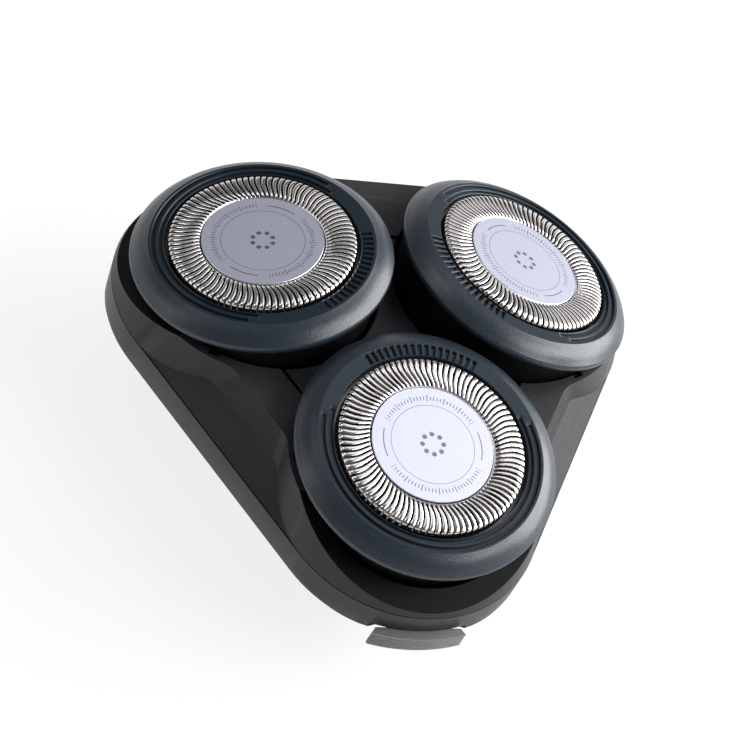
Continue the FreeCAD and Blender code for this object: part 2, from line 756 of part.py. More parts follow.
def latch_room():
    """The hollow behind the front rim that the button's hook catches in."""
    wide = "stem_width + 2 * button_gap"
    left = "-stem_width / 2 - button_gap"
    arm = "(widest_offset + widest_corner - hook_set_back + hook_thickness)"
    hollow = "(hook_nose + nose_gap)"
    back = "(hook_thickness + button_travel + button_gap)"
    return [
        box("latch_hollow", wide, "%s + %s" % (hollow, back), "nose_height + 2 * nose_gap", x=left,
            y="-%s - %s" % (arm, hollow), z="seam_height + hook_ledge"),
        box("latch_mouth", wide, "nose_gap + " + back, "hook_ledge + 1", x=left,
            y="-%s - nose_gap" % arm, z="seam_height + hook_ledge + nose_gap - 1")]


def island_seat():
    """The opening in the top plate that the centre island lies in."""
    sketch = free_sketch("seat_outline", "top_height - top_plate")
    reach = "(island_reach + island_gap)"
    outline(sketch, side_hexagon(reach, reach + " * 0.8"))
    return [extrude("island_opening", sketch, "2 * top_plate")]


def centre_island():
    """The three-armed plate between the heads."""
    sketch = free_sketch("island_outline", "top_height - top_plate")
    outline(sketch, side_hexagon("island_reach", "island_reach * 0.8"))
    plate = extrude("island_plate", sketch, "top_plate")
    holes = []
    for head, angle in HEADS.items():
        holes.append(cylinder("island_well_" + head, "well_radius", "2 * top_height",
                              x="head_radius * cos(%d)" % angle, y="head_radius * sin(%d)" % angle))
    return cut("centre_island", plate, holes)


# Floating heads, made about a pivot at the origin with their outward side on +X
def bezel():
    body = new_body("bezel")
    revolve(body, [("bezel_bore", "bezel_top"), ("bezel_bore", "bezel_ledge"),
                   ("collar_bore - 0.1", "bezel_ledge"), ("collar_bore", "bezel_lower + 0.7"),
                   ("collar_radius - 0.2", "bezel_lower + 0.7"), ("collar_radius - 0.2", "bezel_lower"),
                   ("bezel_radius - 0.45", "bezel_lower"),
                   ("bezel_radius", "bezel_widest", "1.2", 1),
                   ("bezel_shoulder", "bezel_top - 0.1", "2.9", 1)])
    grooves = body_sketch(body, "bezel_grooves", offset="bezel_top")
    for radius in ("groove_inner", "groove_outer"):
        arc_groove(grooves, radius)
    raise_from(body, grooves, "groove_depth", "PartDesign::Pocket")
    tick = body_sketch(body, "bezel_tick", offset="bezel_top")
    start = "180 - tick_pitch * (tick_count - 1) / 2"
    half = "groove_width / 2"
    corners = (("groove_inner - 0.25", "-" + half), ("groove_inner - 0.25 + tick_length", "-" + half),
               ("groove_inner - 0.25 + tick_length", half), ("groove_inner - 0.25", half))
    outline(tick, [("(%s) * cos(%s) - (%s) * sin(%s)" % (along, start, across, start),
                    "(%s) * sin(%s) + (%s) * cos(%s)" % (along, start, across, start))
                   for along, across in corners])
    slot = raise_from(body, tick, "groove_depth", "PartDesign::Pocket")
    repeat(body, slot, tick, "tick_count", "tick_pitch * (tick_count - 1)")
    return body


def arc_groove(sketch, radius):
    """A curved slot round the outward side of a bezel, in two arcs and two ends."""
    inner = "(%s - groove_width / 2)" % radius
    outer = "(%s + groove_width / 2)" % radius
    points = [("%s * cos(groove_sweep)" % inner, "-%s * sin(groove_sweep)" % inner),
              ("%s * cos(groove_sweep)" % outer, "-%s * sin(groove_sweep)" % outer),
              (outer, "0", outer, 1),
              ("%s * cos(groove_sweep)" % outer, "%s * sin(groove_sweep)" % outer, outer, 1),
              ("%s * cos(groove_sweep)" % inner, "%s * sin(groove_sweep)" % inner),
              (inner, "0", inner, -1)]
    points[0] = points[0] + (inner, -1)
    outline(sketch, points)


def collar():
    """The ring below a bezel, round as a ball so that it can tilt, with two pivot pins."""
    body = new_body("collar")
    top = "(bezel_lower + 0.7)"
    ball = "sqrt(collar_radius ^ 2 - %s ^ 2)"
    revolve(body, [("collar_bore", "-collar_lower"), (ball % "collar_lower", "-collar_lower"),
                   ("collar_radius", "0", "collar_radius", 1),
                   (ball % "bezel_lower", "bezel_lower", "collar_radius", 1),
                   ("collar_radius - 0.3", "bezel_lower"), ("collar_radius - 0.3", top),
                   ("collar_bore", top)])
    for side, reverse in (("left", False), ("right", True)):
        offset = "collar_radius - 0.4"
        pin = body_sketch(body, "pivot_pin_" + side, "XZ_Plane",
                          offset if side == "left" else "-(%s)" % offset)
        ring(pin, "0", "0", "pin_radius")
        raise_from(body, pin, "pin_reach - collar_radius + 0.4", reverse=reverse)
    return body


def guard_cap():
    """The slotted steel cap: a thin sheet with a raised track and a flange."""
    body = new_body("guard_cap")
    sheet = "cap_sheet"
    under = "(cap_top - cap_sheet)"
    revolve(body, [("0", "disc_level"), ("0", "disc_level - " + sheet),
                   ("track_inner - cap_bevel", "disc_level - " + sheet),
                   ("track_inner - cap_bevel", "disc_level - 0.9"),
                   ("track_inner + 0.05", "disc_level - 0.9"),
                   ("track_inner + 0.05", "%s - 0.3" % under), ("track_inner + 0.3", under),
                   ("cap_radius - cap_bevel - 0.1", under),
                   ("cap_radius - 0.4", "%s - 0.35" % under),
                   ("cap_radius - 0.4", "flange_level - flange_thickness"),
                   ("flange_radius", "flange_level - flange_thickness"),
                   ("flange_radius", "flange_level"), ("cap_radius", "flange_level"),
                   ("cap_radius", "cap_top - cap_bevel"),
                   ("cap_radius - cap_bevel", "cap_top", "cap_bevel", 1),
                   ("track_inner", "cap_top"),
                   ("track_inner - 0.4", "disc_level")])
    slot = body_sketch(body, "cap_slot", offset="cap_top + 0.05")
    half = "slot_width / 2"
    inner = "(track_inner + 0.12)"
    outer = "(cap_radius + 0.1)"
    outline(slot, [(inner, "-" + half),
                   ("%s * cos(slot_lean)" % outer, "%s * sin(slot_lean) - %s" % (outer, half)),
                   ("%s * cos(slot_lean)" % outer, "%s * sin(slot_lean) + %s" % (outer, half)),
                   (inner, half)])
    slit = raise_from(body, slot, "slot_depth", "PartDesign::Pocket")
    repeat(body, slit, slot, "slot_count")
    return body


def cap_disc():
    """The plain disc that covers the middle of a cap."""
    body = new_body("cap_disc")
    revolve(body, [("0", "disc_level"), ("disc_radius", "disc_level"),
                   ("disc_radius", "disc_level + disc_thickness"), ("0", "disc_level + disc_thickness")])
    return body


def cutter():
    """The steel cutter: a ring with leaning blades that run under the cap's track."""
    body = new_body("cutter")
    lower = "cutter_level - cutter_sheet"
    revolve(body, [("cutter_bore", lower), ("blade_outer", lower), ("blade_outer", "cutter_level"),
                   ("cutter_bore", "cutter_level")])
    blade = body_sketch(body, "cutter_blade", "YZ_Plane", "blade_inner")
    top = "cap_top - cap_sheet - blade_gap"
    base = "cutter_level - cutter_sheet / 2"
    outline(blade, [("0", base), ("blade_thickness", base), ("blade_thickness + blade_lean", top),
                    ("blade_lean", top)])
    lug = raise_from(body, blade, "blade_outer - blade_inner - 0.1")
    round_axis = body_sketch(body, "cutter_axis")
    ring(round_axis, "0", "0", "cutter_bore")
    repeat(body, lug, round_axis, "blade_count")
    return body


def cutter_hub():
    """The plastic hub in a cutter, with a socket for the spindle's tip."""
    body = new_body("cutter_hub")
    under = "cutter_level - cutter_sheet"
    revolve(body, [("0", "socket_depth - hub_lower"), ("socket_radius", "socket_depth - hub_lower"),
                   ("socket_radius", "-hub_lower"), ("hub_radius", "-hub_lower"),
                   ("hub_radius", under + " - 0.6"), ("cutter_bore + 1", under + " - 0.6"),
                   ("cutter_bore + 1", under), ("cutter_bore", under),
                   ("cutter_bore", "cutter_level + 0.3"), ("0", "cutter_level + 0.3")])
    return body


def cutter_retainer():
    """The frame that holds cap and cutter in a collar: two rings and three spokes."""
    body = new_body("cutter_retainer")
    high = "flange_level - flange_thickness"
    top = "retainer_level + retainer_thickness"
    edge = "collar_bore - retainer_gap"
    revolve(body, [("flange_radius - 1.3", "retainer_level"), (edge, "retainer_level"), (edge, high),
                   ("flange_radius - 1.3", high)])
    hub = body_sketch(body, "retainer_hub", offset="retainer_level")
    ring(hub, "0", "0", "retainer_ring")
    ring(hub, "0", "0", "retainer_ring + 1")
    raise_from(body, hub, "retainer_thickness")
    spoke = body_sketch(body, "retainer_spoke", offset="retainer_level")
    outline(spoke, [("retainer_ring + 0.7", "-0.9"), ("flange_radius - 1", "-0.9"),
                    ("flange_radius - 1", "0.9"), ("retainer_ring + 0.7", "0.9")])
    arm = raise_from(body, spoke, "retainer_thickness")
    repeat(body, arm, spoke, "3")
    return body


# Release button, springs and hinge pin
def release_button():
    """The ribbed button, its stem and the hook that holds the upper shell shut."""
    half = "(button_width / 2)"
    shell = "(widest_offset + widest_corner)"
    back = "(%s - button_seat + button_travel + 0.05)" % shell
    side = "sqrt((widest_corner + button_stand) ^ 2 - (button_width / 2) ^ 2)"
    face = free_sketch("button_outline", "button_lower")
    outline(face, [("-%s" % half, "-%s" % back), ("-%s" % half, "-widest_offset - " + side),
                   (half, "-widest_offset - " + side, "widest_corner + button_stand", 1),
                   (half, "-%s" % back)])
    pad = extrude("button_pad", face, "button_top - button_lower")
    hook_back = "(%s - hook_set_back)" % shell
    stem = box("button_stem", "stem_width", "%s - %s + 0.4" % (back, hook_back), "stem_height",
               x="-stem_width / 2", y="-%s - 0.4" % back, z="stem_low")
    arm = box("button_arm", "stem_width", "hook_thickness", "seam_height + hook_ledge + nose_gap + nose_height - stem_low",
              x="-stem_width / 2", y="-%s - hook_thickness" % hook_back, z="stem_low")
    nose = box("button_nose", "stem_width", "hook_nose + 0.1", "nose_height", x="-stem_width / 2",
               y="-%s - hook_thickness - hook_nose" % hook_back,
               z="seam_height + hook_ledge + nose_gap")
    grooves = []
    for number in range(int(value("rib_count"))):
        groove = doc.addObject("Part::Torus", "button_groove_%d" % number)
        bind(groove, Radius1="widest_corner + button_stand + 0.05", Radius2="0.16")
        place(groove, y="-widest_offset",
              z="button_lower + (button_top - button_lower) * %d / (rib_count + 1)" % (number + 1))
        grooves.append(groove)
    return cut("release_button", fuse("button_solid", [pad, stem, arm, nose]), grooves)


def button_spring():
    """The coil that pushes the button's arm outward, round a peg of the chamber."""
    spring = coil("button_spring", "button_spring_radius", "button_spring_room - wire_thickness - 0.1",
                  "3")
    start = "-(widest_offset + widest_corner - hook_set_back) + wire_thickness / 2 + 0.05"
    return place(spring, y=start, z="stem_low + stem_height", roll="-90")


def spindle_spring():
    """The coil between a spindle's flange and its gear's sleeve."""
    spring = coil("spindle_spring", "1.6", "spindle_collar - sleeve_top - wire_thickness",
                  "spring_turns")
    return spring


def hinge_pin():
    """The pin along the back edge."""
    return cylinder("hinge_pin", "hinge_pin_radius", "2 * knuckle_end", x="-knuckle_end", y="hinge_line",
                    z="hinge_height", pitch="90")


node(hair_chamber(), "hair_chamber")
node(gear_cover(), "gear_cover")
node(cover_screws(), "cover_screws")
node(drive_gear(), "drive_gear")
node(head_holder(), "head_holder")
node(centre_island(), "centre_island")
node(hinge_pin(), "hinge_pin")
node(release_button(), "release_button")
node(button_spring(), "button_spring")

copies(spindle_gear(), "spindle_gear", spindle_place)
copies(spindle(), "spindle", spindle_place)
copies(spindle_spring(), "spindle_spring", spindle_place, "sleeve_top + wire_thickness / 2")
for master in (bezel, collar, guard_cap, cap_disc, cutter, cutter_hub, cutter_retainer):
    copies(master(), master.__name__, head_place)

doc.recompute()

failed = [thing.Name for thing in doc.Objects if "Invalid" in thing.State or "Error" in thing.State]
if failed:
    raise RuntimeError("not rebuilt: " + ", ".join(failed))

os.makedirs("parts", exist_ok=True)
for thing in NODES:
    shape = Part.getShape(thing)
    if shape.isNull() or not shape.isValid():
        raise RuntimeError("bad shape: " + thing.Label)
    shape.exportStep("parts/" + thing.Label + ".step")
    print(thing.Label, len(shape.Solids), round(shape.Volume, 2))
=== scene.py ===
import math

import bmesh
import bpy
from mathutils import Matrix, Vector


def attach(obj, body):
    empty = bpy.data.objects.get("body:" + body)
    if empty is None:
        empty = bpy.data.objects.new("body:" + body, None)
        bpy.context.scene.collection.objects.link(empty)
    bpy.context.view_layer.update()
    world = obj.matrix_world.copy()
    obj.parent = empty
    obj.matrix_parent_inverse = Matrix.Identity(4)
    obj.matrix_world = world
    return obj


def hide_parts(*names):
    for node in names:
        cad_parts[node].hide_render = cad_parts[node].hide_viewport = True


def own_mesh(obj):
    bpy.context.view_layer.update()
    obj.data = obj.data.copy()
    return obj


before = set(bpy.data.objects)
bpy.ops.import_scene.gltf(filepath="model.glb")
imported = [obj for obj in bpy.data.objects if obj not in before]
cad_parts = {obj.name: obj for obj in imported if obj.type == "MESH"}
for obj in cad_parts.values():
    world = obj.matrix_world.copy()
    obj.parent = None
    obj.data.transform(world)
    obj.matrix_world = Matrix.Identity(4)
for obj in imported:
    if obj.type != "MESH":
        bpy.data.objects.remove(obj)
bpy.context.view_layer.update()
mm = 0.001

# one entry for each floating head: where it points, and how far it leans at rest
heads = {
    "a": {"angle": 150, "lean": 14.0},
    "b": {"angle": 30, "lean": 15.0},
    "c": {"angle": -90, "lean": 6.6},
}
layout = {"headRadius": 18.3, "pivotHeight": 21.0}


def headMatrix(head):
    # millimetres about a head's pivot, outward on +X, become metres in place
    angle = math.radians(heads[head]["angle"])
    lean = math.radians(heads[head]["lean"])
    spot = Vector((math.cos(angle), math.sin(angle), 0)) * layout["headRadius"]
    spot.z = layout["pivotHeight"]
    turn = Matrix.Rotation(angle, 4, "Z") @ Matrix.Rotation(lean, 4, "Y")
    return Matrix.Scale(mm, 4) @ Matrix.Translation(spot) @ turn


# camera, solved from the ellipses in the photograph: its place, lens and sensor in millimetres
view = {
    "place": (-87.476, -154.639, 223.361),
    "right": (0.94664, -0.14147, 0.28958),
    "up": (-0.0553, 0.81389, 0.57839),
    "back": (-0.31751, -0.56354, 0.76264),
    "lens": 105.06,
    "sensor": 36,
    "clip": 0.01,    # metres
}


def makeCamera():
    lens = bpy.data.cameras.new("camera")
    lens.lens = view["lens"]
    lens.sensor_width = view["sensor"]
    lens.clip_start = view["clip"]
    camera = bpy.data.objects.new("camera", lens)
    bpy.context.scene.collection.objects.link(camera)
    place = Matrix((view["right"], view["up"], view["back"])).transposed().to_4x4()
    place.translation = Vector(view["place"]) * mm
    camera.matrix_world = place
    bpy.context.scene.camera = camera


# materials
def colour(text):
    # sRGB hex to linear
    parts = [int(text[i : i + 2], 16) / 255 for i in (1, 3, 5)]
    return [p / 12.92 if p <= 0.04045 else ((p + 0.055) / 1.055) ** 2.4 for p in parts] + [1]


def newMaterial(name, base, roughness, metallic=0, ior=None, sheen=None):
    # sheen is the specular level, 0.5 for a bare polished face
    material = bpy.data.materials.new(name)
    material.use_nodes = True
    shader = material.node_tree.nodes["Principled BSDF"]
    shader.inputs["Base Color"].default_value = colour(base)
    shader.inputs["Metallic"].default_value = metallic
    shader.inputs["Roughness"].default_value = roughness
    if ior:
        shader.inputs["IOR"].default_value = ior
    if sheen is not None:
        shader.inputs["Specular IOR Level"].default_value = sheen
    return material


def addNode(material, kind, settings=None, links=None):
    # a node with its settings (properties or sockets) and what each of its sockets reads
    tree = material.node_tree
    node = tree.nodes.new("ShaderNode" + kind)
    for key, value in (settings or {}).items():
        if isinstance(key, str) and hasattr(node, key):
            setattr(node, key, value)
        else:
            node.inputs[key].default_value = value
    for key, source in (links or {}).items():
        tree.links.new(source, node.inputs[key])
    return node


def shaderLink(material, socket, source):
    shader = material.node_tree.nodes["Principled BSDF"]
    material.node_tree.links.new(source, shader.inputs[socket])


def grain(material, size, strength, depth):
    # a moulded or ground grain: the width of one grain and its depth in millimetres
    # a real grain of about 0.05 mm is too fine to show, so each is drawn as coarse as it needs
    where = addNode(material, "TexCoord").outputs["Object"]
    noise = addNode(
        material, "TexNoise", {"Scale": 1 / (size * mm), "Detail": 2.0, "Roughness": 0.55},
        {"Vector": where},
    )
    bump = addNode(
        material, "Bump", {"Strength": strength, "Distance": depth * mm},
        {"Height": noise.outputs["Fac"]},
    )
    shaderLink(material, "Normal", bump.outputs["Normal"])
    return noise


def mottle(material, dark, light, size, detail=3.0):
    # slow change of colour over the surface, from handling and from the mould
    where = addNode(material, "TexCoord").outputs["Object"]
    noise = addNode(
        material, "TexNoise", {"Scale": 1 / (size * mm), "Detail": detail}, {"Vector": where}
    )
    mix = addNode(
        material, "Mix", {"data_type": "RGBA", 6: colour(dark), 7: colour(light)},
        {0: noise.outputs["Fac"]},
    )
    shaderLink(material, "Base Color", mix.outputs[2])


def roughnessRange(material, source, low, high):
    span = addNode(
        material, "MapRange", {"From Min": 0.3, "From Max": 0.7, "To Min": low, "To Max": high},
        {"Value": source},
    )
    shaderLink(material, "Roughness", span.outputs["Result"])


def satinAbs():
    # ABS, moulded in a stoned tool: near-black with a soft, even sheen and very little grain
    material = newMaterial("satinAbs", "#232324", roughness=0.42, ior=1.53, sheen=0.32)
    mottle(material, "#202021", "#262627", size=9)
    noise = grain(material, size=0.22, strength=0.25, depth=0.008)
    roughnessRange(material, noise.outputs["Fac"], low=0.38, high=0.46)
    return material


def grainedAbs():
    # ABS, moulded in a spark-eroded tool: a fine sandy grain that scatters the light
    material = newMaterial("grainedAbs", "#262427", roughness=0.55, ior=1.53, sheen=0.25)
    mottle(material, "#1d1b1f", "#302e32", size=0.35, detail=2.0)
    noise = grain(material, size=0.26, strength=0.9, depth=0.03)
    roughnessRange(material, noise.outputs["Fac"], low=0.48, high=0.66)
    return material


def slateAbs():
    # ABS coloured slate blue, with a grain on the sloping skirt
    material = newMaterial("slateAbs", "#212b33", roughness=0.34, ior=1.53, sheen=0.5)
    mottle(material, "#1c262e", "#273139", size=0.3, detail=2.0)
    noise = grain(material, size=0.24, strength=0.85, depth=0.024)
    roughnessRange(material, noise.outputs["Fac"], low=0.27, high=0.4)
    return material


def smoothShadedSlateAbs():
    # the same plastic on the flat round the grooves, where the tool was polished, given a darker base
    # and a lower specular level than the skirt: painted shade
    material = newMaterial("smoothShadedSlateAbs", "#1b252d", roughness=0.33, ior=1.53, sheen=0.24)
    mottle(material, "#18222a", "#1f2931", size=5)
    grain(material, size=0.26, strength=0.45, depth=0.012)
    return material


def paintedShadeAbs():
    # black ABS painted darker than the housing, as painted shade under the bezels: the collars and
    # the slopes of the holder
    material = newMaterial("paintedShadeAbs", "#0a0a0b", roughness=0.55, ior=1.53, sheen=0.1)
    mottle(material, "#08080a", "#0e0e0f", size=6)
    grain(material, size=0.25, strength=0.4, depth=0.012)
    return material


def buttonAbs():
    # ABS, dark grey, satin, rubbed a little paler by thumbs
    material = newMaterial("buttonAbs", "#68686b", roughness=0.45, ior=1.53)
    mottle(material, "#606063", "#717175", size=0.4, detail=2.0)
    grain(material, size=0.2, strength=0.6, depth=0.015)
    return material


def polishedSteel():
    # martensitic stainless steel, ground and tumbled bright: sharp glints on every bar
    material = newMaterial("polishedSteel", "#dedad8", roughness=0.2, metallic=1)
    noise = grain(material, size=0.5, strength=0.25, depth=0.01)
    roughnessRange(material, noise.outputs["Fac"], low=0.15, high=0.27)
    return material


def shadedGroundSteel():
    # stainless steel as it comes from the grinder, its colour darkened with painted shade for the
    # inside of a head: the cutters, and the wall of a cap
    material = newMaterial("shadedGroundSteel", "#6a6664", roughness=0.36, metallic=1)
    noise = grain(material, size=0.15, strength=0.4, depth=0.01)
    roughnessRange(material, noise.outputs["Fac"], low=0.24, high=0.4)
    return material


def zincPlate():
    # zinc-plated steel of screws, pin and springs: dull silver with a faint bloom
    material = newMaterial("zincPlate", "#a9abad", roughness=0.36, metallic=1)
    mottle(material, "#9da0a3", "#b7b9ba", size=1.2)
    grain(material, size=0.2, strength=0.3, depth=0.008)
    return material


def acetal():
    # natural acetal of the gears and spindles: off-white, waxy, slightly see-through
    material = newMaterial("acetal", "#e4e2d8", roughness=0.34, ior=1.48)
    shader = material.node_tree.nodes["Principled BSDF"]
    shader.inputs["Subsurface Weight"].default_value = 0.15
    shader.inputs["Subsurface Scale"].default_value = 0.4 * mm
    mottle(material, "#dddbd0", "#e9e7de", size=4)
    grain(material, size=0.4, strength=0.2, depth=0.006)
    return material


def nylonBlack():
    # glass-filled nylon of hubs and retainers: black with pale flecks
    material = newMaterial("nylonBlack", "#1f1f21", roughness=0.5, ior=1.53)
    mottle(material, "#19191b", "#2a2a2d", size=0.18, detail=1.0)
    grain(material, size=0.3, strength=0.6, depth=0.014)
    return material


planWidth = 40.0    # millimetres that a plan UV map is across

discLook = {
    "metal": "#cfd1e2",
    "fleck": ("#c6c8dc", "#dadceb"),
    "fleckSize": 0.25,
    "print": "#7b7781",
    "circle": (5.13, 0.07),        # radius and width, millimetres
    "arc": (6.05, 0.14),
    "arcHalf": 17.5,               # degrees each side of its middle
    "tickHalf": 60.0,              # degrees that the scale runs each side of outward and inward
    "tick": (6.05, 0.5, 0.12),     # radius, length and width of a short tick
    "tickPitch": 4.0,
    "longEvery": 5,                # every fifth tick is a long one
    "longTick": 0.9,
    "dots": (1.3, 0.3),            # a ring of dots in the middle: its radius, and a dot's
    "dotPitch": 45.0,
}


def anodisedDisc():
    # aluminium, anodised pale lavender over a fine blasted grain, with plain printed hairlines
    look = discLook
    material = newMaterial("anodisedDisc", look["metal"], roughness=0.4, metallic=0.85)
    plan = addNode(material, "UVMap", {"uv_map": "plan"}).outputs["UV"]
    spot = addNode(
        material, "VectorMath", {"operation": "SUBTRACT", 1: (0.5, 0.5, 0)}, {0: plan}
    ).outputs["Vector"]
    axes = addNode(material, "SeparateXYZ", None, {"Vector": spot}).outputs
    reach = addNode(material, "VectorMath", {"operation": "LENGTH"}, {0: spot}).outputs["Value"]
    made = {"reach": reach, "planX": axes["X"], "planY": axes["Y"]}
    circleAt, circleWidth = look["circle"]
    arcAt, arcWidth = look["arc"]
    tickAt, tickLength, tickWidth = look["tick"]
    tickHalf = math.degrees(tickWidth / 2 / tickAt)
    dotRing, dotRadius = look["dots"]
    sideways = 90.0    # degrees from outward
    # arithmetic by name: a result, what is done, and what with
    steps = [
        ("radius", "MULTIPLY", "reach", planWidth),
        ("bearing", "ARCTAN2", "planY", "planX"),
        ("turned", "DEGREES", "bearing"),
        ("folded", "ABSOLUTE", "turned"),
        ("onCircle", "COMPARE", "radius", circleAt, circleWidth / 2),
        ("arcBand", "COMPARE", "radius", arcAt, arcWidth / 2),
        ("arcSpan", "COMPARE", "folded", sideways, look["arcHalf"]),
        ("onArc", "MULTIPLY", "arcBand", "arcSpan"),
    ]
    pitches = {
        "short": look["tickPitch"],
        "tall": look["tickPitch"] * look["longEvery"],
        "dot": look["dotPitch"],
    }
    for mark, pitch in pitches.items():
        # degrees to the nearest of the marks that stand a pitch apart
        steps += [
            (mark + "Count", "DIVIDE", "turned", pitch),
            (mark + "Shifted", "ADD", mark + "Count", 0.5),
            (mark + "Share", "FRACT", mark + "Shifted"),
            (mark + "Centred", "SUBTRACT", mark + "Share", 0.5),
            (mark + "Off", "MULTIPLY", mark + "Centred", pitch),
        ]
    steps += [
        ("shortBand", "COMPARE", "radius", tickAt, tickLength / 2),
        ("shortLine", "COMPARE", "shortOff", 0.0, tickHalf),
        ("shortTick", "MULTIPLY", "shortBand", "shortLine"),
        ("tallBand", "COMPARE", "radius", tickAt, look["longTick"] / 2),
        ("tallLine", "COMPARE", "tallOff", 0.0, tickHalf),
        ("tallTick", "MULTIPLY", "tallBand", "tallLine"),
        ("ticks", "MAXIMUM", "shortTick", "tallTick"),
        ("sides", "COMPARE", "folded", sideways, sideways - look["tickHalf"]),
        ("ends", "SUBTRACT", 1.0, "sides"),
        ("onScale", "MULTIPLY", "ticks", "ends"),
        ("along", "MULTIPLY", "dotOff", math.radians(dotRing)),
        ("across", "SUBTRACT", "radius", dotRing),
        ("alongSquare", "POWER", "along", 2.0),
        ("acrossSquare", "POWER", "across", 2.0),
        ("awaySquare", "ADD", "alongSquare", "acrossSquare"),
        ("onDot", "LESS_THAN", "awaySquare", dotRadius ** 2),
        ("lines", "MAXIMUM", "onCircle", "onArc"),
        ("marks", "MAXIMUM", "onScale", "onDot"),
        ("printed", "MAXIMUM", "lines", "marks"),
    ]
    for result, kind, *given in steps:
        fixed = {i: v for i, v in enumerate(given) if isinstance(v, float)}
        read = {i: made[v] for i, v in enumerate(given) if isinstance(v, str)}
        made[result] = addNode(material, "Math", {"operation": kind, **fixed}, read).outputs[0]
    where = addNode(material, "TexCoord").outputs["Object"]
    fleck = addNode(
        material, "TexNoise", {"Scale": 1 / (look["fleckSize"] * mm), "Detail": 3.0},
        {"Vector": where},
    )
    dark, light = look["fleck"]
    metal = addNode(
        material, "Mix", {"data_type": "RGBA", 6: colour(dark), 7: colour(light)},
        {0: fleck.outputs["Fac"]},
    )
    face = addNode(
        material, "Mix", {"data_type": "RGBA", 7: colour(look["print"])},
        {0: made["printed"], 6: metal.outputs[2]},
    )
    shaderLink(material, "Base Color", face.outputs[2])
    grain(material, size=0.2, strength=0.35, depth=0.008)
    return material


# shaping: points nearer than this many millimetres are merged, and in a CAD copy faces
# within this many degrees count as flat
cleaning = {"lathe": 1e-4, "cap": 2e-4, "node": 0.004, "flat": 0.4}


def arcPoints(centre, radius, start, end, count):
    # points of an arc in (radius, height), angles in degrees
    steps = [math.radians(start + (end - start) * i / count) for i in range(count + 1)]
    return [(centre[0] + radius * math.cos(t), centre[1] + radius * math.sin(t)) for t in steps]


def lathe(profile, steps, closed=True):
    # a profile of (radius, height) points turned round Z
    mesh = bmesh.new()
    points = [mesh.verts.new((r, 0, z)) for r, z in profile]
    edges = [mesh.edges.new(pair) for pair in zip(points, points[1:])]
    if closed:
        edges.append(mesh.edges.new((points[-1], points[0])))
    bmesh.ops.spin(
        mesh, geom=points + edges, cent=(0, 0, 0), axis=(0, 0, 1), angle=math.tau,
        steps=steps, use_merge=True, use_duplicate=False,
    )
    bmesh.ops.remove_doubles(mesh, verts=mesh.verts, dist=cleaning["lathe"])
    bmesh.ops.recalc_face_normals(mesh, faces=mesh.faces)
    return mesh


def planMap(mesh):
    # a UV map of the plan, for patterns that follow a head
    layer = mesh.loops.layers.uv.new("plan")
    for face in mesh.faces:
        for loop in face.loops:
            loop[layer].uv = (loop.vert.co.x / planWidth + 0.5, loop.vert.co.y / planWidth + 0.5)


def finishPiece(mesh, name, place, body, materials, node, crease):
    # a bmesh becomes an object at the origin, riding on its body in place of a CAD node
    data = bpy.data.meshes.new(name)
    mesh.to_mesh(data)
    data.transform(place)
    for material in materials:
        data.materials.append(material)
    data.shade_smooth()
    data.set_sharp_from_angle(angle=math.radians(crease))
    piece = bpy.data.objects.new(name, data)
    bpy.context.scene.collection.objects.link(piece)
    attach(piece, body)
    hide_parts(node)
    return piece


# guard cap: one sheet with 90 bars between leaning slots
cap = {
    "bars": 90,
    "slot": 0.265,          # width of a slot
    "lean": 3.3,            # degrees that a bar runs on from its inner to its outer end
    "bow": 2.5,             # degrees that its middle runs ahead of that
    "thickness": 0.22,
    "shoulder": 0.66,       # share of a bar's half width that stays level
    "drop": 0.04,           # how far a bar's edges fall below its crown
    "shadedBelow": 5.7,            # the wall below this height takes the darker steel, painted shade in the gap under the bezel
    "track": 6.1,           # faces above this height are on the track
    # radius and height, from the seat of the disc over the track to the flange
    "profile": [
        (7.20, 5.62), (7.50, 5.72), (7.62, 5.86), (7.72, 6.01), (7.90, 6.13), (8.4, 6.20),
        (9.1, 6.24), (9.8, 6.235), (10.5, 6.20), (11.0, 6.14), (11.26, 6.05), (11.42, 5.88),
        (11.50, 5.64), (11.50, 5.25), (11.50, 4.85), (11.50, 4.50), (11.52, 4.34), (12.60, 4.28),
    ],
    "slotFrom": 3,          # rows of the profile between which the slots run
    "slotTo": 15,
}


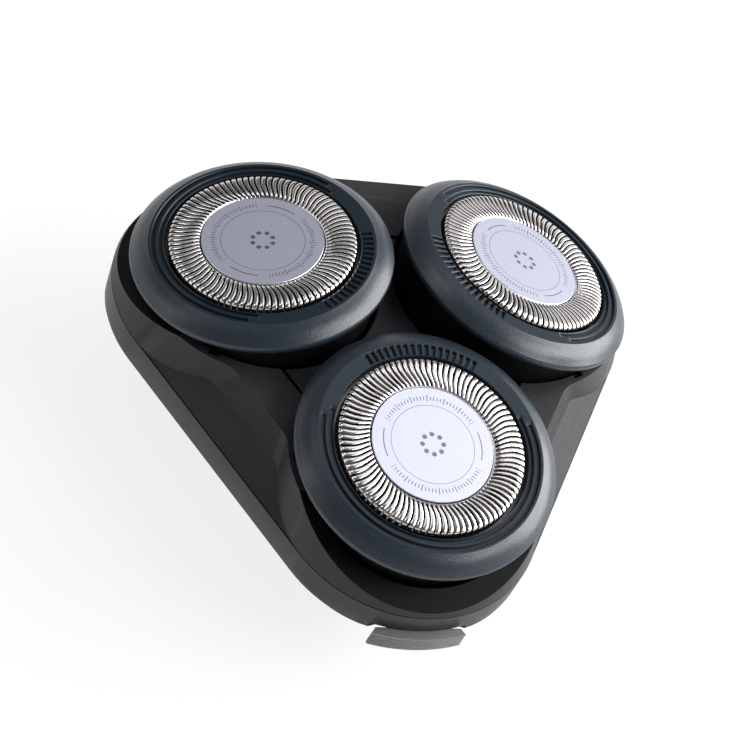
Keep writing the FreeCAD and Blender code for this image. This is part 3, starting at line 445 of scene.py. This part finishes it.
def capShell():
    rows = cap["profile"]
    count = cap["bars"]
    pitch = 360 / count
    # each bar has five columns of points across it, and one more stands in the slot
    offsets = (-1.0, -cap["shoulder"], 0.0, cap["shoulder"], 1.0)
    last = len(offsets) - 1
    across = len(offsets) + 1
    rowCode = 100    # a point's index is its column times this, plus its row
    mesh = bmesh.new()
    bmesh.ops.create_grid(mesh, x_segments=count * across, y_segments=len(rows) - 1, size=1)
    inner = rows[cap["slotFrom"]][0]
    outer = rows[cap["slotTo"]][0]
    for vert in mesh.verts:
        column = round((vert.co.x + 1) / 2 * count * across)
        row = round((vert.co.y + 1) / 2 * (len(rows) - 1))
        radius, height = rows[row]
        bar, part = divmod(column, across)
        half = pitch / 2 - math.degrees(cap["slot"] / 2 / radius)
        run = min(max((radius - inner) / (outer - inner), 0), 1)
        lean = cap["lean"] * run + cap["bow"] * math.sin(math.pi * run)
        sideways = half * offsets[part] if part <= last else pitch / 2
        if part in (0, last) and cap["slotFrom"] <= row <= cap["slotTo"]:
            height -= cap["drop"]
        turn = math.radians(bar * pitch + lean + sideways)
        vert.co = (radius * math.cos(turn), radius * math.sin(turn), height)
        vert.index = column * rowCode + row
    doomed = []
    for face in mesh.faces:
        spots = [divmod(v.index, rowCode) for v in face.verts]
        column = min(s[0] for s in spots)
        row = min(s[1] for s in spots)
        if cap["slotFrom"] <= row < cap["slotTo"] and column % across >= last:
            doomed.append(face)
    bmesh.ops.delete(mesh, geom=doomed, context="FACES")
    bmesh.ops.remove_doubles(mesh, verts=mesh.verts, dist=cleaning["cap"])
    bmesh.ops.recalc_face_normals(mesh, faces=mesh.faces)
    track = [f for f in mesh.faces if f.calc_center_median().z > cap["track"]]
    if sum(f.normal.z for f in track) < 0:
        bmesh.ops.reverse_faces(mesh, faces=mesh.faces)
    # faces of the wall below the track take the steel darkened with painted shade
    for face in mesh.faces:
        face.material_index = 1 if face.calc_center_median().z < cap["shadedBelow"] else 0
    bmesh.ops.solidify(mesh, geom=mesh.faces, thickness=cap["thickness"])
    return mesh


disc = {
    "radius": 7.47,
    "low": 5.76,
    "high": 6.0,
    "edge": 0.06,           # chamfer of the upper edge
    "foot": (0.1, 0.08),    # chamfer of the lower edge, across and up
    "steps": 96,
}


def capDisc():
    radius, low, high, edge = disc["radius"], disc["low"], disc["high"], disc["edge"]
    across, up = disc["foot"]
    mesh = lathe(
        [
            (0.0, low), (radius - across, low), (radius, low + up),
            (radius, high - edge), (radius - edge, high), (0.0, high),
        ],
        disc["steps"], closed=False,
    )
    planMap(mesh)
    return mesh


# bezel ring: a flat with two arc grooves outward and a row of ticks inward, and a sloping skirt
bezel = {
    "top": 5.75,
    "lip": [(11.9, 5.52), (11.94, 5.67), (12.02, 5.735)],
    "grooves": [(12.35, 110), (13.25, 105)],   # radius, degrees each side of outward
    "grooveWidth": 0.45,
    "grooveEnd": 0.6,    # degrees over which a groove runs out
    "wall": 0.03,        # how far a groove's floor stands in from its edge
    "depth": 0.35,
    "chamfer": 0.1,
    "shoulder": 13.8,    # radius where the flat ends
    "edgeRound": 0.2,    # between the flat and the sloping skirt
    "rim": (16.15, 3.72),    # radius and height of the widest line
    "rimRound": 0.55,    # between the skirt and the lower edge
    "edgeSteps": 4,
    "rimSteps": 6,
    "skirtFall": 39.0,   # degrees
    "skirtBow": 0.12,
    "bowSteps": 5,
    "waist": [(16.13, 3.5), (16.05, 3.2), (15.86, 3.0), (15.7, 2.9)],
    "inside": [(14.2, 2.9), (14.2, 3.6), (12.9, 3.6), (12.8, 4.4), (11.9, 4.4)],
    "ticks": 17,
    "tickPitch": 3.85,
    "tickHalf": 0.9,
    "tickEdge": 0.1,
    "tickChamfer": 0.45,
    "step": 1.6,         # widest step in degrees
    "near": 0.01,        # how closely a point counts as on an edge
    "level": 0.001,      # and as on the flat
    "smoothAbove": 5.2,  # the flat is smooth and takes the darker slate with painted shade, from this height and inside this radius
    "smoothWithin": 13.85,
}


def tickMiddles():
    # degrees from outward, in a row whose middle is inward
    half = (bezel["ticks"] - 1) / 2
    return [180 + (number - half) * bezel["tickPitch"] for number in range(bezel["ticks"])]


def bezelAngles():
    # every angle that a groove end or a tick needs, with even steps between
    wanted = {0.0}
    for radius, sweep in bezel["grooves"]:
        for end in (sweep - bezel["grooveEnd"], sweep):
            wanted.update((end, 360 - end))
    half, edge = bezel["tickHalf"], bezel["tickEdge"]
    for middle in tickMiddles():
        for off in (half, half + edge, half + edge + bezel["tickChamfer"]):
            wanted.update((middle - off, middle + off))
    marks = sorted(wanted) + [360.0]
    angles = []
    for low, high in zip(marks, marks[1:]):
        parts = max(1, math.ceil((high - low) / bezel["step"]))
        angles += [low + (high - low) * i / parts for i in range(parts)]
    return angles


def bezelProfile():
    top, chamfer, wall = bezel["top"], bezel["chamfer"], bezel["wall"]
    fall, edge, rim = bezel["skirtFall"], bezel["edgeRound"], bezel["rimRound"]
    half = bezel["grooveWidth"] / 2
    flat = list(bezel["lip"])
    for radius, sweep in bezel["grooves"]:
        low, high = radius - half, radius + half
        edges = (low - chamfer, low, low + wall, high - wall, high, high + chamfer)
        flat += [(r, top) for r in edges]
    shoulder = arcPoints((bezel["shoulder"], top - edge), edge, 90.0, 90.0 - fall, bezel["edgeSteps"])
    reach, height = bezel["rim"]
    rimArc = arcPoints((reach - rim, height), rim, 90.0 - fall, 0.0, bezel["rimSteps"])
    low, high = shoulder[-1], rimArc[0]
    bow = []
    for number in range(1, bezel["bowSteps"]):
        share = number / bezel["bowSteps"]
        out = bezel["skirtBow"] * math.sin(math.pi * share)
        bow.append(tuple((1 - share) * a + share * b + out for a, b in zip(low, high)))
    return flat + shoulder + bow + rimArc + bezel["waist"] + bezel["inside"]


def grooveHeight(radius, angle):
    # height of a point of the flat, at its place round the ring in degrees
    top, near, end = bezel["top"], bezel["near"], bezel["grooveEnd"]
    half = bezel["grooveWidth"] / 2
    tickIn = bezel["grooves"][0][0] - half
    tickOut = bezel["grooves"][1][0] + half
    fromTick = min(abs(angle - middle) for middle in tickMiddles()) - bezel["tickHalf"]
    if tickIn + 2 * near < radius < tickOut - 2 * near and fromTick < bezel["tickEdge"] / 2:
        return top - bezel["depth"]
    if tickIn - near < radius < tickOut + near and fromTick < bezel["tickEdge"] * 1.5:
        return top - bezel["chamfer"]
    fromOutward = min(angle, 360 - angle)
    for middle, sweep in bezel["grooves"]:
        across = abs(radius - middle)
        if across < half - 2 * near and fromOutward < sweep - end / 2:
            return top - bezel["depth"]
        if across < half + near and fromOutward < sweep + near:
            return top - bezel["chamfer"]
    return top


def bezelRing():
    angles = bezelAngles()
    mesh = lathe(bezelProfile(), len(angles))
    for vert in mesh.verts:
        radius = math.hypot(vert.co.x, vert.co.y)
        step = round(math.degrees(math.atan2(vert.co.y, vert.co.x)) % 360 / 360 * len(angles))
        angle = angles[step % len(angles)]
        height = vert.co.z
        if height > bezel["top"] - bezel["level"]:
            height = grooveHeight(radius, angle)
        turn = math.radians(angle)
        vert.co = (radius * math.cos(turn), radius * math.sin(turn), height)
    # the flat takes the slate copy with painted shade, the skirt the plain slate
    for face in mesh.faces:
        spot = face.calc_center_median()
        onFlat = spot.z > bezel["smoothAbove"] and spot.xy.length < bezel["smoothWithin"]
        face.material_index = 1 if onFlat else 0
    return mesh


# collar: the ball-sided ring under a bezel, with its two pivot pins
collar = {
    "ball": 14.4,
    "low": -3.6,
    "high": 2.9,
    "rings": 14,
    "bore": 12.9,
    "neck": (14.1, 3.6),
    "pinAway": 14.7,
    "pinRadius": 0.6,
    "pinLength": 1.4,
    "pinSides": 24,
    "steps": 120,
}


def collarRing():
    low, high, rings = collar["low"], collar["high"], collar["rings"]
    heights = [low + (high - low) * i / rings for i in range(rings + 1)]
    side = [(math.sqrt(collar["ball"] ** 2 - z * z), z) for z in heights]
    neck, top = collar["neck"]
    foot = [(collar["bore"], low)]
    mesh = lathe(foot + side + [(neck, high), (neck, top), (collar["bore"], top)], collar["steps"])
    for sign in (-1, 1):
        spot = Matrix.Translation((0, sign * collar["pinAway"], 0))
        bmesh.ops.create_cone(
            mesh, cap_ends=True, segments=collar["pinSides"], radius1=collar["pinRadius"],
            radius2=collar["pinRadius"], depth=collar["pinLength"],
            matrix=spot @ Matrix.Rotation(math.pi / 2, 4, "X"),
        )
    return mesh


def nodeShape(name):
    # a merged copy of a CAD node's mesh, in millimetres
    mesh = bmesh.new()
    mesh.from_mesh(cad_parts[name].data)
    bmesh.ops.scale(mesh, vec=(1 / mm,) * 3, verts=mesh.verts)
    bmesh.ops.remove_doubles(mesh, verts=mesh.verts, dist=cleaning["node"])
    bmesh.ops.dissolve_degenerate(mesh, edges=mesh.edges, dist=cleaning["node"])
    bmesh.ops.dissolve_limit(
        mesh, angle_limit=math.radians(cleaning["flat"]), verts=mesh.verts, edges=mesh.edges
    )
    return mesh


# edges of the housing that turn by more than this angle are rounded
rounding = {"angle": 32, "segments": 2}


def roundEdges(piece, width):
    bevel = piece.modifiers.new("roundedEdges", "BEVEL")
    bevel.width = width * mm
    bevel.segments = rounding["segments"]
    bevel.limit_method = "ANGLE"
    bevel.angle_limit = math.radians(rounding["angle"])


# how the faces of the upper shell are told apart, by their normals
holderFaces = {
    "level": 0.98,           # least height of the normal on the top
    "slope": 0.8,            # and on a slope under a bezel
    "repeat": 120,           # degrees after which the shell looks the same
    "slopeTurn": (30, 10),   # which way the slopes face within a repeat, and how closely
    "facetTurn": (90, 1.5),  # the same for the side facets
    "facetRise": 0.1,
    "facetArea": 4,
}


def holderLook(face):
    # 0 satin, 1 the sandy grain of the top and the side facets, 2 the slopes under the bezels, which
    # take the black with painted shade
    rise = face.normal.z
    across = math.degrees(math.atan2(face.normal.y, face.normal.x)) % holderFaces["repeat"]
    if rise > holderFaces["level"]:
        return 1
    turn, close = holderFaces["slopeTurn"]
    if abs(across - turn) < close and rise > holderFaces["slope"]:
        return 2
    turn, close = holderFaces["facetTurn"]
    large = face.calc_area() > holderFaces["facetArea"] and rise > holderFaces["facetRise"]
    return int(large and abs(across - turn) < close)


def gradeHolder(mesh):
    for face in mesh.faces:
        face.material_index = holderLook(face)


# the lower shell's sides are upright in the photograph, where the CAD band flares
# an outline is its corners' distance from the axis and their radius
band = {
    "seam": 16.35,           # heights
    "widest": 12.5,
    "foot": 9.0,
    "now": (15.5, 20.5),     # outline of the widest line in the CAD
    "wanted": (19.46, 16.75),
    "low": (18.3, 10.2),     # outline at the foot
    "wall": 2.3,             # how deep the wall is taken along
    "fade": (20.0, 45.0),    # degrees from a corner's middle where the move sets in
    "sides": (210, 330),     # which way the two sides face
    "half": 60,              # degrees from the middle of a side to a corner
}


def bandOutline(height):
    # the CAD outline at a height, and how much of the move applies there
    if height > band["widest"]:
        far = band["wanted"]
        share = (band["seam"] - height) / (band["seam"] - band["widest"])
    else:
        far = band["low"]
        share = (height - band["foot"]) / (band["widest"] - band["foot"])
    offset, corner = [f + (n - f) * share for f, n in zip(far, band["now"])]
    return offset, corner, share


def bandMove(point, side, offset, corner):
    # how the wall moves at a point, or None where the point isn't on this side's wall
    turn = math.radians(side)
    normal = Vector((math.cos(turn), math.sin(turn)))
    along = Vector((-normal.y, normal.x))
    further = band["wanted"][0] - band["now"][0]
    rounder = band["wanted"][1] - band["now"][1]
    place = point.dot(along)
    reach = point.dot(normal)
    width = math.sin(math.radians(band["half"]))
    end = offset * width
    if abs(place) <= end:
        if reach <= offset / 2 + corner - band["wall"]:
            return None
        inward = further / 2 + band["wanted"][1] - band["now"][1]
        spread = further * width * place / end
        return normal * inward + along * spread
    middle = normal * offset / 2 + along * math.copysign(end, place)
    arm = point - middle
    lean = math.degrees(normal.angle(arm))
    if arm.length < corner - band["wall"] or lean > band["half"] or reach < 0:
        return None
    low, high = band["fade"]
    fade = min(max((band["half"] - lean - low) / (high - low), 0), 1)
    fade = fade * fade * (3 - 2 * fade)
    arm.normalize()
    move = middle.normalized() * further + arm * rounder
    outward = move.dot(arm)
    return arm * min(outward, 0) + (move - arm * outward) * fade


def straightenSides(mesh):
    # moves the shell's wall inwards along its two front sides
    for vert in mesh.verts:
        if not band["foot"] < vert.co.z < band["seam"]:
            continue
        point = Vector((vert.co.x, vert.co.y))
        offset, corner, share = bandOutline(vert.co.z)
        for side in band["sides"]:
            move = bandMove(point, side, offset, corner)
            if move is not None:
                vert.co.x, vert.co.y = point + move * share
                break


# the button's top runs in under the ledge, and its recess is as deep as its travel
recess = {
    "buttonBack": -35.95,
    "buttonTo": -35.5,
    "buttonHalf": 5.3,
    "buttonAbove": 13.0,
    "buttonNear": 0.02,       # how closely a point counts as on the button's back
    "wall": -35.1,
    "wallTo": -34.45,
    "wallNear": 0.005,        # and as on the wall of the recess
    "half": 6.1,
    "heights": (12.0, 13.4),
    "corner": (5.95, 13.0),   # below this height the corners further out than this stay
    "foot": 12.6,
    "lower": 0.3,             # how far the recess's foot goes down the slope
}


def tuckButton(mesh):
    half = recess["buttonHalf"]
    for vert in mesh.verts:
        onBack = abs(vert.co.y - recess["buttonBack"]) < recess["buttonNear"]
        if onBack and vert.co.z > recess["buttonAbove"]:
            vert.co.y = recess["buttonTo"]
            vert.co.x = max(min(vert.co.x, half), -half)


def deepenRecess(mesh):
    low, high = recess["heights"]
    cornerAway, cornerHeight = recess["corner"]
    for vert in mesh.verts:
        across = abs(vert.co.x)
        height = vert.co.z
        onWall = abs(vert.co.y - recess["wall"]) <= recess["wallNear"]
        held = across > cornerAway and height < cornerHeight
        if onWall and across <= recess["half"] and low < height < high and not held:
            vert.co.y = recess["wallTo"]
            if height < recess["foot"]:
                vert.co.z -= recess["lower"]


def shapeChamber(mesh):
    deepenRecess(mesh)
    straightenSides(mesh)


print("frame loaded:", len(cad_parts), "nodes")
makeCamera()
print("camera placed")

finish = {
    "satin": satinAbs(),
    "grained": grainedAbs(),
    "slate": slateAbs(),
    "smoothShadedSlate": smoothShadedSlateAbs(),
    "paintedShadeBlack": paintedShadeAbs(),
    "button": buttonAbs(),
    "steel": polishedSteel(),
    "ground": shadedGroundSteel(),
    "zinc": zincPlate(),
    "acetal": acetal(),
    "nylon": nylonBlack(),
    "disc": anodisedDisc(),
}
print("materials made:", len(finish))

# floating heads, three of each piece
headPieces = [
    {"mesh": capShell(), "piece": "guardCap", "node": "guard_cap_", "slot": "cap_steel",
     "looks": ["steel", "ground"], "crease": 50},
    {"mesh": capDisc(), "piece": "capDisc", "node": "cap_disc_", "slot": "disc_plate",
     "looks": ["disc"], "crease": 30},
    {"mesh": bezelRing(), "piece": "bezelRing", "node": "bezel_", "slot": "bezel_slate",
     "looks": ["slate", "smoothShadedSlate"], "crease": 30},
    # the collars take the black with painted shade
    {"mesh": collarRing(), "piece": "collarRing", "node": "collar_", "slot": "collar_black",
     "looks": ["paintedShadeBlack"], "crease": 30},
]
for head in heads:
    for kind in headPieces:
        finishPiece(kind["mesh"], kind["piece"] + head.upper(), headMatrix(head), "head_" + head,
                    [finish[look] for look in kind["looks"]], kind["node"] + head,
                    kind["crease"])
print("floating heads made")

# housing: the CAD shapes with rounded edges
shells = {
    "head_holder": {"piece": "upperShell", "body": "holder", "slot": "holder_black",
                    "look": "satin", "round": 0.16, "change": gradeHolder},
    "centre_island": {"piece": "centreIsland", "body": "holder", "slot": "island_black",
                      "look": "grained", "round": 0.12, "change": None},
    "hair_chamber": {"piece": "lowerShell", "body": "base", "slot": "shell_black",
                     "look": "satin", "round": 0.16, "change": shapeChamber},
    "gear_cover": {"piece": "gearCover", "body": "base", "slot": "shell_black",
                   "look": "grained", "round": 0.15, "change": None},
    "release_button": {"piece": "releaseButton", "body": "button", "slot": "button_grey",
                       "look": "button", "round": 0.12, "change": tuckButton},
}
shellCrease = 32
for name, shell in shells.items():
    shape = nodeShape(name)
    if shell["change"]:
        shell["change"](shape)
    # the third look, the black with painted shade, goes on the slopes under the bezels
    looks = [finish[look] for look in (shell["look"], "grained", "paintedShadeBlack")]
    piece = finishPiece(shape, shell["piece"], Matrix.Scale(mm, 4), shell["body"],
                        looks, name, shellCrease)
    roundEdges(piece, shell["round"])
    print(shell["piece"], len(piece.data.polygons), "faces")
print("housing dressed")

# springs: each becomes a merged copy with a mesh of its own; the table also gives the still end, and
# the share of the length that is left when pressed
springs = {
    "spindle_spring_a": {"piece": "spindleSpringA", "body": "spindle_gear_a",
                         "joint": "spindle_press_a", "axis": (0, 0, 1),
                         "still": (-15.85, 9.15, 14.5), "keep": 0.58},
    "spindle_spring_b": {"piece": "spindleSpringB", "body": "spindle_gear_b",
                         "joint": "spindle_press_b", "axis": (0, 0, 1),
                         "still": (15.85, 9.15, 14.5), "keep": 0.58},
    "spindle_spring_c": {"piece": "spindleSpringC", "body": "spindle_gear_c",
                         "joint": "spindle_press_c", "axis": (0, 0, 1),
                         "still": (0, -18.3, 14.5), "keep": 0.58},
    "button_spring": {"piece": "buttonSpring", "body": "base", "joint": "button_press",
                      "axis": (0, 1, 0), "still": (0, -31.8, 12.9), "keep": 0.42},
}
springCrease = 35
for name, spring in springs.items():
    piece = finishPiece(nodeShape(name), spring["piece"], Matrix.Scale(mm, 4), spring["body"],
                        [finish["zinc"]], name, springCrease)
    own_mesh(piece)
print("springs made:", len(springs))

# the CAD nodes that stay as they are
# the cutters take the steel darkened with painted shade
nodeLooks = {
    "cover_screws": "zinc", "hinge_pin": "zinc", "drive_gear": "acetal",
    "spindle_gear": "acetal", "spindle": "acetal", "cutter": "ground",
    "cutter_hub": "nylon", "cutter_retainer": "nylon",
}
for name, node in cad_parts.items():
    family = name[:-2] if name[-2:] in ("_a", "_b", "_c") else name
    if family in nodeLooks and not node.hide_render:
        node.data.materials.clear()
        node.data.materials.append(finish[nodeLooks[family]])
print("inner parts painted")

# floor, backdrop and light
studio = {
    "floorSize": 3.0,
    "floorDrop": 0.0002,
    "floor": "#ffffff",
    "floorGlow": 0.82,   # how much of the floor is seen as plain white, the rest holds the shadow
    "sweepTop": 0.12,    # sine of the height where the white sweep starts to fade
    "roomFrom": 0.45,    # and where only the room is left
    "room": 0.12,        # brightness of the room above
    "aim": (0, 0, 0.015),
    # soft boxes: which way and how far they stand, width and height, brightness, tint
    "lamps": {
        "rightBox": {"toward": (0.90, 0.08, 0.40), "away": 0.60, "size": (0.50, 0.44),
                     "glow": 8.5, "tint": "#ffffff"},
        "frontBox": {"toward": (0.61, -0.35, 0.71), "away": 0.62, "size": (0.34, 0.30),
                     "glow": 7.0, "tint": "#ffffff"},
        "topBox": {"toward": (0.34, 0.40, 0.86), "away": 0.62, "size": (0.46, 0.40),
                   "glow": 1.3, "tint": "#fbfbff"},
        "backBox": {"toward": (-0.385, 0.27, 0.883), "away": 0.60, "size": (0.20, 0.20),
                    "glow": 3.0, "tint": "#f4f6ff"},
        "leftStrip": {"toward": (-0.90, 0.05, 0.50), "away": 0.55, "size": (0.14, 0.34),
                      "glow": 1.8, "tint": "#f4f8ff"},
    },
}


def makeFloor():
    # the floor takes the object's shadow, and looks white to the camera and in reflections
    floor = bmesh.new()
    bmesh.ops.create_grid(floor, x_segments=1, y_segments=1, size=studio["floorSize"] / 2)
    data = bpy.data.meshes.new("floor")
    floor.to_mesh(data)
    material = newMaterial("paleFloor", studio["floor"], roughness=0.9)
    tree = material.node_tree
    path = addNode(material, "LightPath")
    seen = addNode(
        material, "Math", {"operation": "MAXIMUM"},
        {0: path.outputs["Is Camera Ray"], 1: path.outputs["Is Transmission Ray"]},
    )
    shown = addNode(
        material, "Math", {"operation": "MAXIMUM"},
        {0: seen.outputs[0], 1: path.outputs["Is Glossy Ray"]},
    )
    share = addNode(
        material, "Math", {"operation": "MULTIPLY", 1: studio["floorGlow"]}, {0: shown.outputs[0]}
    )
    glow = addNode(material, "Emission", {"Color": (1, 1, 1, 1), "Strength": 1.0})
    mix = addNode(
        material, "MixShader", None,
        {0: share.outputs[0], 1: tree.nodes["Principled BSDF"].outputs[0], 2: glow.outputs[0]},
    )
    tree.links.new(mix.outputs[0], tree.nodes["Material Output"].inputs["Surface"])
    data.materials.append(material)
    plane = bpy.data.objects.new("floor", data)
    plane.location.z = -studio["floorDrop"]
    bpy.context.scene.collection.objects.link(plane)


def makeRoom():
    # a white sweep round the table, fading into a dim room overhead
    world = bpy.data.worlds.new("studio")
    bpy.context.scene.world = world
    world.use_nodes = True
    light = world.node_tree.nodes["Background"]
    light.inputs["Strength"].default_value = 1.0
    way = addNode(world, "TexCoord").outputs["Generated"]
    rise = addNode(world, "SeparateXYZ", None, {"Vector": way}).outputs["Z"]
    fade = addNode(
        world, "MapRange",
        {"interpolation_type": "SMOOTHSTEP", "From Min": studio["sweepTop"],
         "From Max": studio["roomFrom"], "To Min": 0.0, "To Max": 1.0},
        {"Value": rise},
    )
    room = addNode(
        world, "Mix", {"data_type": "RGBA", 6: (1, 1, 1, 1), 7: (studio["room"],) * 3 + (1,)},
        {0: fade.outputs["Result"]},
    )
    world.node_tree.links.new(room.outputs[2], light.inputs["Color"])


def makeLamps():
    for name, look in studio["lamps"].items():
        lamp = bpy.data.lights.new(name, "AREA")
        lamp.shape = "RECTANGLE"
        lamp.size, lamp.size_y = look["size"]
        lamp.energy = look["glow"] * math.pi * lamp.size * lamp.size_y
        lamp.color = colour(look["tint"])[:3]
        box = bpy.data.objects.new(name, lamp)
        away = Vector(look["toward"]).normalized()
        turn = (-away).to_track_quat("-Z", "Y").to_matrix().to_4x4()
        box.matrix_world = Matrix.Translation(Vector(studio["aim"]) + away * look["away"]) @ turn
        bpy.context.scene.collection.objects.link(box)


makeFloor()
makeRoom()
makeLamps()
bpy.context.scene.view_settings.view_transform = "Standard"
print("studio lit")
